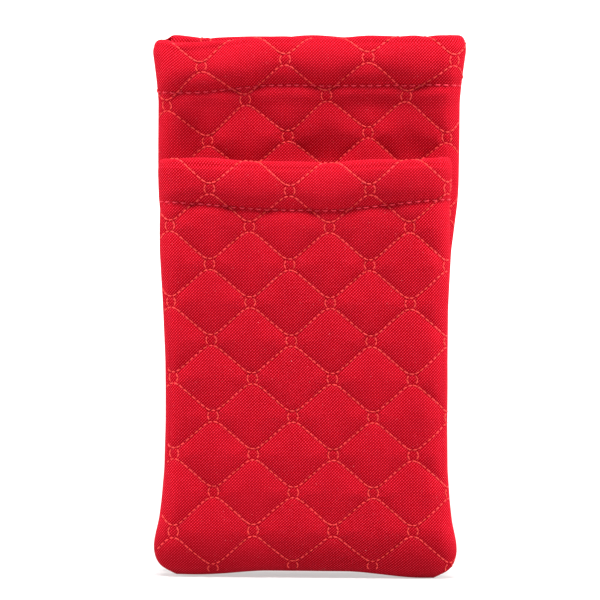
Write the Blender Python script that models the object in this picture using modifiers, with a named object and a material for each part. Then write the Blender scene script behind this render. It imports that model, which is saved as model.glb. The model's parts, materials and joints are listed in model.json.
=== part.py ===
"""Soft pouch glasses case: a tall and a short squeeze-top pouch, one behind the other.

Each pouch has a front and a back wall of quilted fabric with a lining. The top of each wall
is folded in and sewn as a casing, and a flat spring strip lies in it. The two strips of a
pouch are pinned together at their ends, so squeezing the ends bows them apart and opens the
mouth. Here each wall bends at two straight creases that run up from the bottom corners, so
it is a middle piece and two side pieces, and the strips and linings are split there too.

Metres, +Z up, the front towards -Y. The origin is below the middle, on the ground.
"""

import math

import bmesh
import bpy
from mathutils import Vector

# ---- driving dimensions ----
POUCH_PITCH = 0.0128            # between the seam planes of the two pouches
HALF_DEPTH = 0.0061             # seam plane to the outer face of a wall
CASING_INNER = 0.0022           # seam plane to the inner face of a casing
PANEL_THICKNESS = 0.0015
CASING_HEIGHT = 0.0145
LINING_THICKNESS = 0.0005
LINING_GAP = 0.0003             # between a lining and the panel or the casing next to it
STRIP_THICKNESS = 0.0005
STRIP_HEIGHT = 0.0105
STRIP_BELOW_LIP = 0.0027
KNUCKLE_BORE = 0.0013
KNUCKLE_SPLITS = {"outer": (0.0030, 0.0075), "middle": (0.0036, 0.0069)}
KNUCKLE_TURN = math.radians(300)
PIN_RADIUS = 0.0008
PIN_HEAD_RADIUS = 0.0015
PIN_HEAD_HEIGHT = 0.0007
PIN_HEAD_GAP = 0.0003
SEAM_THICKNESS = 0.0030
SEAM_GAP = 0.0006               # between the pin line and a side seam
SEAM_PIN_NOTCH = 0.0026         # the same, beside the knuckles
SEAM_FOOT = 0.0005              # height of the lowest point of a side seam
CREASE_GAP = 0.00025            # from a crease to the piece on either side of it
PIN_LINE_GAP = 0.0003
FOLD_OPEN_ANGLE = math.radians(17)   # what the bottom fold leaves free under a moving wall
FOLD_FIXED_ANGLE = math.radians(1)
FOLD_FLAT_ANGLE = math.radians(13)   # half of the flat underside that the case stands on
WALL_FOOT_GAP = 0.0004          # from the bottom hinge's height to a middle panel's edge
LINING_FOOT_GAP = 0.0020
SIDE_PANEL_FOOT = 0.026         # below this height a side piece would be too narrow to cut
SIDE_COLUMNS = 6                # of a side panel's grid, closer together at the pin line
SIDE_LINING_COLUMNS = 4         # how many of them the lining behind it covers
SIDE_ROLL = 0.007               # width of the strip beside the pin line that curves inwards
SIDE_ROLL_DEPTH = 0.0021
INNER_FOLD_END = 0.0072         # from the pin to the end of the casing's inner fold
STRIP_STRAIGHT_END = 0.0066     # from the pin to where the strip starts to bend inwards
BOTTOM_CORNER = 0.0440          # half width where creases, pin line and bottom hinge meet
CREASE_TOP = 0.0120             # half width of a middle piece at the lip
NOTCH_START = 0.0200            # below the lip, where a seam's notch by the knuckles begins
NOTCH_FULL = 0.0155             # below the lip, from where the notch has its full depth

# ---- grids ----
LIP_STEPS = 6                   # rows over the half turn of a lip
BEND_STEPS = 5                  # columns where a strip bends inwards
CURL_STEPS = 14                 # columns round a knuckle
PIN_STEPS = 14                  # sides of a pin
SEAM_ROWS = 30
FOLD_STEPS = 5                  # rows on each side of the bottom fold

HINGE_Z = HALF_DEPTH * math.cos(FOLD_FLAT_ANGLE)
LIP_RADIUS = (HALF_DEPTH - CASING_INNER) / 2
STRIP_OFFSET = CASING_INNER + PANEL_THICKNESS + (
    HALF_DEPTH - CASING_INNER - 2 * PANEL_THICKNESS) / 2
CURL_RADIUS = KNUCKLE_BORE + STRIP_THICKNESS / 2

# Half width of the outline at each height. The lower part is common to both pouches.
LOWER_OUTLINE = [(0.000, 0.0460), (0.003, 0.0477), (0.009, 0.0487), (0.020, 0.0478),
                 (0.040, 0.0463), (0.060, 0.0459), (0.085, 0.0460), (0.100, 0.0464)]
REAR_OUTLINE = LOWER_OUTLINE + [(0.125, 0.0478), (0.148, 0.0483), (0.158, 0.0487),
                                (0.1695, 0.0502), (0.1715, 0.0500), (0.1735, 0.0485)]
FRONT_OUTLINE = LOWER_OUTLINE + [(0.120, 0.0467), (0.130, 0.0473), (0.132, 0.0471),
                                 (0.1340, 0.0458)]

# Each pouch: its seam plane, lip height, half width at the pins, outline, and the side
# (+1 back, -1 front) of its wall that moves. Its other wall is part of the fixed root.
POUCHES = {
    "rear": {"seam_y": POUCH_PITCH / 2, "lip": 0.1735, "pin_x": 0.0446,
             "outline": REAR_OUTLINE, "moving": 1},
    "front": {"seam_y": -POUCH_PITCH / 2, "lip": 0.1340, "pin_x": 0.0430,
              "outline": FRONT_OUTLINE, "moving": -1},
}
WALLS = {"back": 1, "front": -1}
ENDS = {"left": -1, "right": 1}

# ---- finishes: linear colour, roughness, metallic ----
FINISHES = {
    "quilted_fabric": ((0.62, 0.012, 0.022, 1), 0.80, 0.0),
    "lining_fabric": ((0.30, 0.008, 0.014, 1), 0.70, 0.0),
    "spring_steel": ((0.56, 0.57, 0.60, 1), 0.32, 1.0),
}


def clear_scene():
    for obj in list(bpy.data.objects):
        bpy.data.objects.remove(obj, do_unlink=True)


def make_materials():
    made = {}
    for name, (colour, roughness, metallic) in FINISHES.items():
        material = bpy.data.materials.new(name)
        material.use_nodes = True
        shader = material.node_tree.nodes["Principled BSDF"]
        shader.inputs["Base Color"].default_value = colour
        shader.inputs["Roughness"].default_value = roughness
        shader.inputs["Metallic"].default_value = metallic
        made[name] = material
    return made


def outline_half_width(pouch, height):
    """Half width of the pouch at a height, straight between the outline's points."""
    points = pouch["outline"]
    for (low, width_low), (high, width_high) in zip(points, points[1:]):
        if height <= high:
            part = max(0.0, (height - low) / (high - low))
            return width_low + (width_high - width_low) * part
    return points[-1][1]


def crease_x(pouch, height):
    part = (height - HINGE_Z) / (pouch["lip"] - HINGE_Z)
    return BOTTOM_CORNER + (CREASE_TOP - BOTTOM_CORNER) * part


def pin_line_x(pouch, height):
    """Half width of the line from the bottom corner through the pin."""
    pin_height = pouch["lip"] - STRIP_BELOW_LIP - STRIP_HEIGHT / 2
    part = (height - HINGE_Z) / (pin_height - HINGE_Z)
    return BOTTOM_CORNER + (pouch["pin_x"] - BOTTOM_CORNER) * part


def wall_offset(pouch, x, height):
    """Seam plane to a wall's outer face: flat, then curving in beside the pin line."""
    margin = max(0.0, 1.0 - (pin_line_x(pouch, height) - x) / SIDE_ROLL)
    return HALF_DEPTH - SIDE_ROLL_DEPTH * margin ** 2


def across_side(pouch, height, u):
    """Half width at u, from a crease, 0, to the pin line, 1."""
    start = crease_x(pouch, height) + CREASE_GAP
    stop = pin_line_x(pouch, height) - PIN_LINE_GAP
    return start + (stop - start) * (1 - (1 - u) ** 2)


def add_body(name, origin, collection):
    """An empty on a joint's axis, which the pieces of one moving body hang from."""
    empty = bpy.data.objects.new(name, None)
    empty.empty_display_size = 0.01
    empty.location = origin
    collection.objects.link(empty)
    return empty


def add_sheet(name, columns, rows, place, body, material, thickness,
              outward=None, keep=None):
    """A grid laid out by place(u, v), then thickened by Solidify.

    With outward, the grid is the outer face and the thickness goes the other way. Without
    it, the grid is the middle of the sheet. keep(u, v) leaves out faces of the grid.
    """
    mesh = bpy.data.meshes.new(name)
    bm = bmesh.new()
    bmesh.ops.create_grid(bm, x_segments=columns, y_segments=rows, size=0.5)
    if keep:
        centres = [(face, face.calc_center_median()) for face in bm.faces]
        dropped = [face for face, centre in centres
                   if not keep(centre.x + 0.5, centre.y + 0.5)]
        bmesh.ops.delete(bm, geom=dropped, context="FACES")
    for vert in bm.verts:
        vert.co = Vector(place(vert.co.x + 0.5, vert.co.y + 0.5)) - body.location
    bm.normal_update()
    bm.faces.ensure_lookup_table()
    if outward is not None and bm.faces[0].normal.dot(outward) < 0:
        bmesh.ops.reverse_faces(bm, faces=bm.faces[:])
    bm.to_mesh(mesh)
    bm.free()
    obj = bpy.data.objects.new(name, mesh)
    obj.parent = body
    mesh.materials.append(material)
    body.users_collection[0].objects.link(obj)
    solidify = obj.modifiers.new("thickness", "SOLIDIFY")
    solidify.thickness = thickness
    solidify.offset = 0.0 if outward is None else -1.0
    solidify.use_even_offset = True
    return obj


def panel_path(pouch, foot):
    """(height, turn) of each row of a panel: up the outside, over the lip, down inside.

    turn is 0 on the outside, half a turn on the inside, and between them on the lip.
    """
    lip_centre = pouch["lip"] - LIP_RADIUS
    casing_foot = pouch["lip"] - CASING_HEIGHT
    rows = [(foot, 0.0), ((foot + casing_foot) / 2, 0.0), (casing_foot, 0.0)]
    for step in range(LIP_STEPS + 1):
        turn = math.pi * step / LIP_STEPS
        rows.append((lip_centre + LIP_RADIUS * math.sin(turn), turn))
    rows.append((casing_foot, math.pi))
    return rows


def add_middle_panel(name, pouch, side, body, material):
    path = panel_path(pouch, HINGE_Z + WALL_FOOT_GAP)

    def place(u, v):
        height, turn = path[round(v * (len(path) - 1))]
        edge = crease_x(pouch, height) - CREASE_GAP
        offset = (HALF_DEPTH + CASING_INNER) / 2 + LIP_RADIUS * math.cos(turn)
        return (2 * u - 1) * edge, pouch["seam_y"] + side * offset, height

    add_sheet(name, 1, len(path) - 1, place, body, material, PANEL_THICKNESS,
              outward=Vector((0, side, 0)))


def add_side_panel(name, pouch, side, end, body, material):
    path = panel_path(pouch, SIDE_PANEL_FOOT)

    def place(u, v):
        height, turn = path[round(v * (len(path) - 1))]
        inside = (1 - math.cos(turn)) / 2
        outer_x = across_side(pouch, height, u)
        start, stop = across_side(pouch, height, 0), across_side(pouch, height, 1)
        inner_end = pouch["pin_x"] - INNER_FOLD_END
        inner_x = start + (inner_end - start) * (outer_x - start) / (stop - start)
        x = outer_x + (inner_x - outer_x) * inside
        outer_y = wall_offset(pouch, outer_x, height)
        offset = outer_y + (CASING_INNER - outer_y) * inside
        return end * x, pouch["seam_y"] + side * offset, height

    add_sheet(name, SIDE_COLUMNS, len(path) - 1, place, body, material, PANEL_THICKNESS,
              outward=Vector((0, side, 0)))


def add_lining(name, pouch, side, end, body, material):
    """The lining behind one panel, below the casing. end is 0 for the middle piece."""
    top = pouch["lip"] - CASING_HEIGHT - LINING_GAP
    foot = SIDE_PANEL_FOOT if end else HINGE_Z + LINING_FOOT_GAP
    inset = PANEL_THICKNESS + LINING_GAP

    def place(u, v):
        height = foot + (top - foot) * v
        if end:
            x = across_side(pouch, height, u * SIDE_LINING_COLUMNS / SIDE_COLUMNS)
            offset = wall_offset(pouch, x, height) - inset
            return end * x, pouch["seam_y"] + side * offset, height
        edge = crease_x(pouch, height) - CREASE_GAP
        return (2 * u - 1) * edge, pouch["seam_y"] + side * (HALF_DEPTH - inset), height

    columns = SIDE_LINING_COLUMNS if end else 1
    add_sheet(name, columns, 1, place, body, material, LINING_THICKNESS,
              outward=Vector((0, side, 0)))


def add_middle_strip(name, pouch, side, body, material):
    foot = pouch["lip"] - STRIP_BELOW_LIP - STRIP_HEIGHT

    def place(u, v):
        height = foot + STRIP_HEIGHT * v
        edge = crease_x(pouch, height) - CREASE_GAP
        return (2 * u - 1) * edge, pouch["seam_y"] + side * STRIP_OFFSET, height

    add_sheet(name, 1, 1, place, body, material, STRIP_THICKNESS)


def strip_route(pouch):
    """(half width, offset) of a side strip: straight, bent inwards, then curled."""
    bend_start = pouch["pin_x"] - STRIP_STRAIGHT_END
    route = []
    for step in range(BEND_STEPS):
        part = step / BEND_STEPS
        ease = part * part * (3 - 2 * part)
        route.append((bend_start + STRIP_STRAIGHT_END * part,
                      STRIP_OFFSET + (CURL_RADIUS - STRIP_OFFSET) * ease))
    for step in range(CURL_STEPS + 1):
        turn = KNUCKLE_TURN * step / CURL_STEPS
        route.append((pouch["pin_x"] + CURL_RADIUS * math.sin(turn),
                      CURL_RADIUS * math.cos(turn)))
    return route


def add_side_strip(name, pouch, side, end, body, material):
    """A strip's side piece. Its end curls round the pin in one or two knuckles."""
    foot = pouch["lip"] - STRIP_BELOW_LIP - STRIP_HEIGHT
    moving = side == pouch["moving"]
    split = KNUCKLE_SPLITS["middle" if moving else "outer"]
    levels = [0.0, split[0], split[1], STRIP_HEIGHT]
    route = strip_route(pouch)
    columns = len(route)

    def place(u, v):
        column = round(u * columns)
        height = foot + levels[round(v * (len(levels) - 1))]
        if column == 0:
            x, offset = crease_x(pouch, height) + CREASE_GAP, STRIP_OFFSET
        else:
            x, offset = route[column - 1]
        return end * x, pouch["seam_y"] + side * offset, height

    def keep(u, v):
        in_knuckle_zone = u * columns > BEND_STEPS
        in_middle_row = 1 < v * (len(levels) - 1) < 2
        return not in_knuckle_zone or in_middle_row == moving

    add_sheet(name, columns, len(levels) - 1, place, body, material, STRIP_THICKNESS,
              keep=keep)


def add_pin(name, pouch, end, body, material):
    """A headed pin: half of its section, turned about the vertical by Screw."""
    foot = pouch["lip"] - STRIP_BELOW_LIP - STRIP_HEIGHT - PIN_HEAD_GAP
    top = pouch["lip"] - STRIP_BELOW_LIP + PIN_HEAD_GAP
    half_section = [(0.0, top + PIN_HEAD_HEIGHT), (PIN_HEAD_RADIUS, top + PIN_HEAD_HEIGHT),
                    (PIN_HEAD_RADIUS, top), (PIN_RADIUS, top), (PIN_RADIUS, foot),
                    (PIN_HEAD_RADIUS, foot), (PIN_HEAD_RADIUS, foot - PIN_HEAD_HEIGHT),
                    (0.0, foot - PIN_HEAD_HEIGHT)]
    mesh = bpy.data.meshes.new(name)
    bm = bmesh.new()
    verts = [bm.verts.new((radius, 0.0, height)) for radius, height in half_section]
    for first, second in zip(verts, verts[1:]):
        bm.edges.new((first, second))
    bm.to_mesh(mesh)
    bm.free()
    mesh.materials.append(material)
    obj = bpy.data.objects.new(name, mesh)
    obj.parent = body
    obj.location = Vector((end * pouch["pin_x"], pouch["seam_y"], 0)) - body.location
    body.users_collection[0].objects.link(obj)
    screw = obj.modifiers.new("turned", "SCREW")
    screw.steps = screw.render_steps = PIN_STEPS
    screw.use_merge_vertices = True
    screw.merge_threshold = 0.00001


def add_side_seam(name, pouch, end, body, material):
    """The two walls' edges sewn flat together, from the pin line out to the outline."""
    top = pouch["lip"]
    notch_low = pouch["lip"] - NOTCH_START
    notch_high = pouch["lip"] - NOTCH_FULL

    def place(u, v):
        height = SEAM_FOOT + (top - SEAM_FOOT) * v
        part = min(1.0, max(0.0, (height - notch_low) / (notch_high - notch_low)))
        inner = pin_line_x(pouch, height) + SEAM_GAP + (SEAM_PIN_NOTCH - SEAM_GAP) * part
        outer = outline_half_width(pouch, height)
        return end * (inner + (outer - inner) * u), pouch["seam_y"], height

    add_sheet(name, 1, SEAM_ROWS, place, body, material, SEAM_THICKNESS)


def add_bottom_fold(name, pouch, body, material):
    """The fold that joins the two walls, round the bottom hinge."""
    half_length = BOTTOM_CORNER - PIN_LINE_GAP
    flat_start = math.pi / 2 - FOLD_FLAT_ANGLE
    parts = [step / FOLD_STEPS for step in range(FOLD_STEPS + 1)]
    open_side = [FOLD_OPEN_ANGLE + (flat_start - FOLD_OPEN_ANGLE) * part for part in parts]
    fixed_side = [math.pi - FOLD_FIXED_ANGLE - (flat_start - FOLD_FIXED_ANGLE) * part
                  for part in reversed(parts)]
    turns = open_side + fixed_side

    def place(u, v):
        turn = turns[round(v * (len(turns) - 1))]
        return ((2 * u - 1) * half_length,
                pouch["seam_y"] + pouch["moving"] * HALF_DEPTH * math.cos(turn),
                HINGE_Z - HALF_DEPTH * math.sin(turn))

    add_sheet(name, 1, len(turns) - 1, place, body, material, PANEL_THICKNESS,
              outward=Vector((0, pouch["moving"], 0)))


def add_wall(pouch_name, pouch, wall, side, middle_body, side_bodies, materials):
    """One wall: the middle and side pieces of its panel, lining and spring strip."""
    fabric = materials["quilted_fabric"]
    lining = materials["lining_fabric"]
    steel = materials["spring_steel"]
    label = f"{pouch_name}_{wall}"
    add_middle_panel(f"{label}_panel_middle", pouch, side, middle_body, fabric)
    add_lining(f"{label}_lining_middle", pouch, side, 0, middle_body, lining)
    add_middle_strip(f"{label}_strip_middle", pouch, side, middle_body, steel)
    for end_name, end in ENDS.items():
        body = side_bodies[end_name]
        add_side_panel(f"{label}_panel_{end_name}", pouch, side, end, body, fabric)
        add_lining(f"{label}_lining_{end_name}", pouch, side, end, body, lining)
        add_side_strip(f"{label}_strip_{end_name}", pouch, side, end, body, steel)


def add_pouch(pouch_name, pouch, collection, root, materials):
    seam_y = pouch["seam_y"]
    bottom_hinge = Vector((0, seam_y, HINGE_Z))
    for wall, side in WALLS.items():
        moving = side == pouch["moving"]
        middle_body = root
        if moving:
            middle_body = add_body(f"{pouch_name}_mouth_hinge", bottom_hinge, collection)
        side_bodies = {}
        for end_name, end in ENDS.items():
            crease_foot = Vector((end * BOTTOM_CORNER, seam_y + side * CASING_INNER, HINGE_Z))
            side_bodies[end_name] = add_body(
                f"{pouch_name}_{wall}_crease_{end_name}", crease_foot, collection)
        add_wall(pouch_name, pouch, wall, side, middle_body, side_bodies, materials)
    for end_name, end in ENDS.items():
        corner = Vector((end * BOTTOM_CORNER, seam_y, HINGE_Z))
        body = add_body(f"{pouch_name}_pin_line_{end_name}", corner, collection)
        add_side_seam(f"{pouch_name}_{end_name}_side_seam", pouch, end, body,
                      materials["quilted_fabric"])
        add_pin(f"{pouch_name}_{end_name}_pin", pouch, end, body, materials["spring_steel"])
    add_bottom_fold(f"{pouch_name}_bottom_fold", pouch, root, materials["quilted_fabric"])


def main():
    clear_scene()
    collection = bpy.data.collections.new("glasses_pouch")
    bpy.context.scene.collection.children.link(collection)
    materials = make_materials()
    root = add_body("root", Vector((0, 0, 0)), collection)
    for pouch_name, pouch in POUCHES.items():
        add_pouch(pouch_name, pouch, collection, root, materials)


main()
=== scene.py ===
"""Looks of the soft pouch glasses case: quilted fabric walls, linings, threads and steel.

Every wall is worked out from one function, wall_point, which gives the fabric's surface from
a place on the cloth: x, the half width, and v, the distance along the cloth from the bottom
edge up the outside, over the lip and down inside. The walls, linings, side seams and threads
are all laid on it, so they stay together.
"""

import functools
import json
import math

import bpy
import numpy as np
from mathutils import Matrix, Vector


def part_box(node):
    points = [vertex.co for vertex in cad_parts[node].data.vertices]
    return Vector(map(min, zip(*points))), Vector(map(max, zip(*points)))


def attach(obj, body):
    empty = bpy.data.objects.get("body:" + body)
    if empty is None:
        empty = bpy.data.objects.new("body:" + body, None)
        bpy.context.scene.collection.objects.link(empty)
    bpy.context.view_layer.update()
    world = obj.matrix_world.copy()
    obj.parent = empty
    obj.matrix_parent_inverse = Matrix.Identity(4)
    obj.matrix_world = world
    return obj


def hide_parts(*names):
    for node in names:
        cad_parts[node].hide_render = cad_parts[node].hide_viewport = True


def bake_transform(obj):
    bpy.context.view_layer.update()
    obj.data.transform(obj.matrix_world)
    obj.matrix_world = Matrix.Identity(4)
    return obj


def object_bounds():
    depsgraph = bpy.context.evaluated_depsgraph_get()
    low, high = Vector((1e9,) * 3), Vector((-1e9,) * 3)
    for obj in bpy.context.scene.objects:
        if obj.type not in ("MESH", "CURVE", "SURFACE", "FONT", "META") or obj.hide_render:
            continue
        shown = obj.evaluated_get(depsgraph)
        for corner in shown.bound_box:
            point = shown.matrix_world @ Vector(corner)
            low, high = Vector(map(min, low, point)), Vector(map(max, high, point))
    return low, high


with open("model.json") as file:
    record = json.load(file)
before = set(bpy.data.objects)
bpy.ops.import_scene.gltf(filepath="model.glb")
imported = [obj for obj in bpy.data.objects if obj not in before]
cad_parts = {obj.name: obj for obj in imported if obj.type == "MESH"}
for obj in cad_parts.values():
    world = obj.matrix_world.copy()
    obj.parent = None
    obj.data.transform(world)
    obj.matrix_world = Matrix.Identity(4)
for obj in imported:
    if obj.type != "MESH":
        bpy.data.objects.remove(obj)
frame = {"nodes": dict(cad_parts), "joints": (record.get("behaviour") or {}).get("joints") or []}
CAD_BOX = [list(corner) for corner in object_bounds()]

MM = 0.001

# ---- places, from the CAD frame ----
WALLS = {"back": 1.0, "front": -1.0}
ENDS = {"left": -1.0, "right": 1.0}
MOVING_WALL = {"rear": "back", "front": "front"}


def quarter_oval(width, height, steps=200):
    """Angles round a quarter of an oval, and the distance along it at each of them."""
    angles = np.linspace(0, math.pi / 2, steps)
    across, up = width * np.sin(angles), height * (1 - np.cos(angles))
    lengths = np.hypot(np.diff(across), np.diff(up)).cumsum()
    return angles, np.concatenate([[0.0], lengths])


def read_pouch(name):
    """Seam plane, lip height and pin place of one pouch, in metres."""
    pin_low, pin_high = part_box(f"{name}_right_pin")
    panel_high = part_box(f"{name}_back_panel_middle")[1]
    strip_low, strip_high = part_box(f"{name}_back_strip_middle")
    crease = next(j for j in frame["joints"] if j["name"] == f"{name}_back_crease_right")
    hinge = next(j for j in frame["joints"] if j["name"] == f"{name}_mouth_open")
    seam_y = (pin_low.y + pin_high.y) / 2
    return {
        "name": name,
        "seam_y": seam_y,
        "pin_x": (pin_low.x + pin_high.x) / 2,
        "lip": panel_high.z,
        "depth": panel_high.y - seam_y,
        "hinge_z": hinge["pos_m"][2],
        "corner_x": abs(crease["pos_m"][0]),
        "crease_axis": crease["axis"],
        "strip_z": (strip_low.z, strip_high.z),
    }


POUCHES = {name: read_pouch(name) for name in ("rear", "front")}

# ---- the fabric's shape, in metres ----
CASING_HEIGHT = 14.5 * MM       # lip to the casing's stitch line
CASING_INNER = 2.2 * MM         # seam plane to the casing's inner face
BOTTOM_RISE = 15.0 * MM         # height over which the bottom edge curves under
SIDE_RADIUS = 8.0 * MM          # how far in from the outline the walls begin to close
EDGE_HALF = 0.35 * MM           # half thickness at the outline
TOP_RISE = {"left": 1.15, "right": 1.4}     # height of its top, over the lip's radius
TOP_CORNER = 0.40               # how much of the side seam's width its top corner loses
SKIN_THICKNESS = 0.8 * MM
INNER_FOLD_END = 7.2 * MM       # from the pin to the end of the casing's inner fold
SPLIT_OVERLAP = 0.6 * MM        # how far a wall runs on under the side seam
FOLD_FLAP = 1.2 * MM            # how far the moving wall wraps round the bottom
FOLD_TUCK = 3.5 * MM            # how much of the fixed wall's edge lies inside that flap
LINING_DEPTH = 1.9 * MM
LINING_THICKNESS = 0.35 * MM
LINING_START = 3.0 * MM         # from the bottom to the lining's lower edge, along the cloth
LINING_TOP_GAP = 0.8 * MM       # from the lining's upper edge to the casing's stitch line
LINING_SIDE_GAP = 2.8 * MM      # from the lining's edge to where the side seam begins
SKIN_PITCH = 0.55 * MM
SEAM_PITCH = 0.6 * MM           # of the side seam's mesh
SEAM_THICKNESS = 0.55 * MM
FRONT_LEAN = -1.1 * MM          # how far the front pouch's top has shifted sideways

# Half width of the outline at each height above the bottom
LOWER_OUTLINE = [(0.0, 40.0), (0.6, 42.9), (1.6, 45.0), (3.0, 46.9), (5.5, 48.3), (8.7, 48.9),
                 (12.0, 48.6), (18.3, 47.2), (25.0, 46.4), (35.0, 45.6), (50.0, 45.3),
                 (70.0, 45.4), (89.0, 45.9), (105.0, 46.6)]
OUTLINES = {
    "rear": LOWER_OUTLINE + [(115.0, 47.8), (121.0, 48.5), (127.0, 48.8), (140.0, 48.9),
                             (153.5, 48.9), (159.8, 49.5), (166.2, 50.3), (170.2, 50.9),
                             (172.2, 50.4), (173.5, 49.0), (175.0, 48.2)],
    "front": LOWER_OUTLINE + [(113.0, 46.6), (119.0, 46.5), (127.0, 47.1), (131.0, 47.3),
                              (132.8, 47.0), (134.0, 46.0), (136.0, 45.6)],
}

BOTTOM_ANGLES, BOTTOM_LENGTHS = quarter_oval(POUCHES["rear"]["depth"], BOTTOM_RISE)
BOTTOM_ARC = float(BOTTOM_LENGTHS[-1])      # cloth distance of the bottom's curve

SIDE_ANGLES, SIDE_LENGTHS = quarter_oval(SIDE_RADIUS, POUCHES["rear"]["depth"])

# Quilting: a diamond lattice with a small ring at each crossing
QUILT_PITCH_X = 25.6 * MM
QUILT_ROW = 12.16 * MM
RING_RADIUS = 1.75 * MM
RING_FLAT = 1.5 * MM
QUILT_PUFF = 1.2 * MM
# Per wall: x of a crossing in an even row, and the height of row 0 as cloth distance
FLAT_START = BOTTOM_ARC - BOTTOM_RISE
QUILT_ORIGINS = {
    ("front", "front"): (-4.9 * MM, 125.0 * MM + FLAT_START),
    ("front", "back"): (2.0 * MM, 122.5 * MM + FLAT_START),
    ("rear", "front"): (-7.1 * MM, 165.8 * MM + FLAT_START),
    ("rear", "back"): (4.6 * MM, 164.0 * MM + FLAT_START),
}
# How much the lattice drops at the left end, and how far it leans: the sideways shift, and
# the heights over which it grows from nothing to that
QUILT_SAG = {("rear", "front"): 2.0 * MM}
QUILT_LEAN = {("rear", "front"): (-0.8 * MM, 142 * MM, 158 * MM),
              ("front", "front"): (0.9 * MM, 95 * MM, 25 * MM)}

# Height up to which the pouches' neighbouring walls press each other flat
PRESSED_TO = POUCHES["front"]["lip"] - 8 * MM
STITCH_PITCH = 1.85 * MM
HEM_PITCH = 2.7 * MM
THREAD_RADIUS = 0.21 * MM
THREAD_LIFT = 0.18 * MM         # how far the middle of a quilting stitch stands off the cloth
HEM_RADIUS = 0.22 * MM
HEM_LIFT = 0.55 * MM
STITCH_CLEAR = 0.9 * MM         # how far past a wall's edge its own stitches may lie
STITCH_REACH = 54 * MM          # half width over which stitches are worked out
FIRST_STITCH_SEED = 1000
HEM_SEED = 77


def outline_table(points):
    table = np.array(points) * MM
    return table[:, 0], table[:, 1]


OUTLINE_TABLES = {name: outline_table(points) for name, points in OUTLINES.items()}


def smoothstep(t):
    t = np.clip(t, 0.0, 1.0)
    return t * t * (3 - 2 * t)


def ease(value, start, span):
    """From 0 to 1 while value goes from start over span, both in millimetres."""
    return smoothstep((value - start * MM) / (span * MM))


def hump(value, reach):
    """A bump of height 1 round value 0, and its reach in millimetres."""
    return np.exp(-(value / (reach * MM)) ** 2)


class Noise:
    """Smooth random bumps on a grid, the same ones each run."""

    def __init__(self, seed, size=64):
        self.grid = np.random.default_rng(seed).uniform(-1, 1, (size, size))
        self.size = size

    def __call__(self, x, y):
        x0, y0 = np.floor(x).astype(int), np.floor(y).astype(int)
        fx, fy = smoothstep(x - x0), smoothstep(y - y0)
        n = self.size
        a = self.grid[x0 % n, y0 % n]
        b = self.grid[(x0 + 1) % n, y0 % n]
        c = self.grid[x0 % n, (y0 + 1) % n]
        d = self.grid[(x0 + 1) % n, (y0 + 1) % n]
        return (a * (1 - fx) + b * fx) * (1 - fy) + (c * (1 - fx) + d * fx) * fy


NOISES = {
    (pouch, wall): [Noise(100 * i + 10 * j + k) for k in range(3)]
    for i, pouch in enumerate(POUCHES) for j, wall in enumerate(WALLS)
}


def half_width(pouch, height):
    """Half width of the outline, eased between the points of its table."""
    heights, widths = OUTLINE_TABLES[pouch["name"]]
    step = 0.8 * MM
    samples = [np.interp(height + k * step, heights, widths) for k in (-2, -1, 0, 1, 2)]
    weights = [1, 2, 3, 2, 1]
    return sum(w * s for w, s in zip(weights, samples)) / sum(weights)


def pin_line(pouch, height):
    pin_height = sum(pouch["strip_z"]) / 2
    part = (height - pouch["hinge_z"]) / (pin_height - pouch["hinge_z"])
    return pouch["corner_x"] + (pouch["pin_x"] - pouch["corner_x"]) * part


def split_x(pouch, height):
    """Half width of the line where a wall gives way to the side seam."""
    return np.minimum(pin_line(pouch, height), half_width(pouch, height) - 1.0 * MM)


def cloth_u(pouch, x, v):
    """Distance across the cloth from its middle to x, round the closing sides."""
    start = half_width(pouch, row_height(pouch, v)) - SIDE_RADIUS
    part = np.clip((np.abs(x) - start) / SIDE_RADIUS, 0, 1)
    round_side = np.interp(np.arcsin(part), SIDE_ANGLES, SIDE_LENGTHS)
    return np.sign(x) * np.where(np.abs(x) < start, np.abs(x), start + round_side)


def cloth_x(pouch, u, v):
    """The x at which the cloth is u across from its middle."""
    start = half_width(pouch, row_height(pouch, v)) - SIDE_RADIUS
    turn = np.interp(np.abs(u) - start, SIDE_LENGTHS, SIDE_ANGLES)
    wide = np.where(np.abs(u) < start, np.abs(u), start + SIDE_RADIUS * np.sin(turn))
    return np.sign(u) * wide


def lip_radius(pouch):
    return (pouch["depth"] - CASING_INNER) / 2


def path_lengths(pouch):
    """Cloth distances at which the bottom arc, the outside and the lip end."""
    arc = BOTTOM_ARC
    outside = arc + (pouch["lip"] - lip_radius(pouch)) - BOTTOM_RISE
    lip = outside + lip_radius(pouch) * math.pi
    return arc, outside, lip


def hem_v(pouch):
    """Cloth distance of the casing's stitch line on the outside."""
    outside = path_lengths(pouch)[1]
    return outside - (CASING_HEIGHT - lip_radius(pouch))


def lip_shift(pouch, wall, x):
    """How much higher the lip is at x than the CAD lip."""
    end = x / (47 * MM)
    if (pouch["name"], wall) == ("rear", "front"):
        drop = smoothstep((-end - 0.28) / 0.55)
        corner = smoothstep((-end - 0.88) / 0.14)
        return (0.5 - 2.4 * drop + 0.9 * corner + 0.4 * smoothstep(end * 1.3 - 0.2)) * MM
    if (pouch["name"], wall) == ("rear", "back"):
        corner = smoothstep((-end - 0.92) / 0.12)
        return (0.6 + 0.2 * np.cos(end * 5) - 0.5 * smoothstep(end * 1.4)
                - 1.6 * corner) * MM
    if (pouch["name"], wall) == ("front", "front"):
        return (-0.9 + 0.9 * smoothstep(-end) + 1.7 * smoothstep(end * 1.1)) * MM
    return -1.2 * MM


def lean(pouch, height):
    """How far a pouch has shifted sideways at a height."""
    if pouch["name"] == "rear":
        return 0.0
    return FRONT_LEAN * ease(height, 55, 60)


def bottom_lift(x):
    """The bottom edge hangs lower at the corners, most of all at the right one."""
    middle = 1.9 * MM * (1 - ease(np.abs(x), 12, 26))
    return middle + 0.5 * MM * ease(-x, 22, 18)


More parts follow.
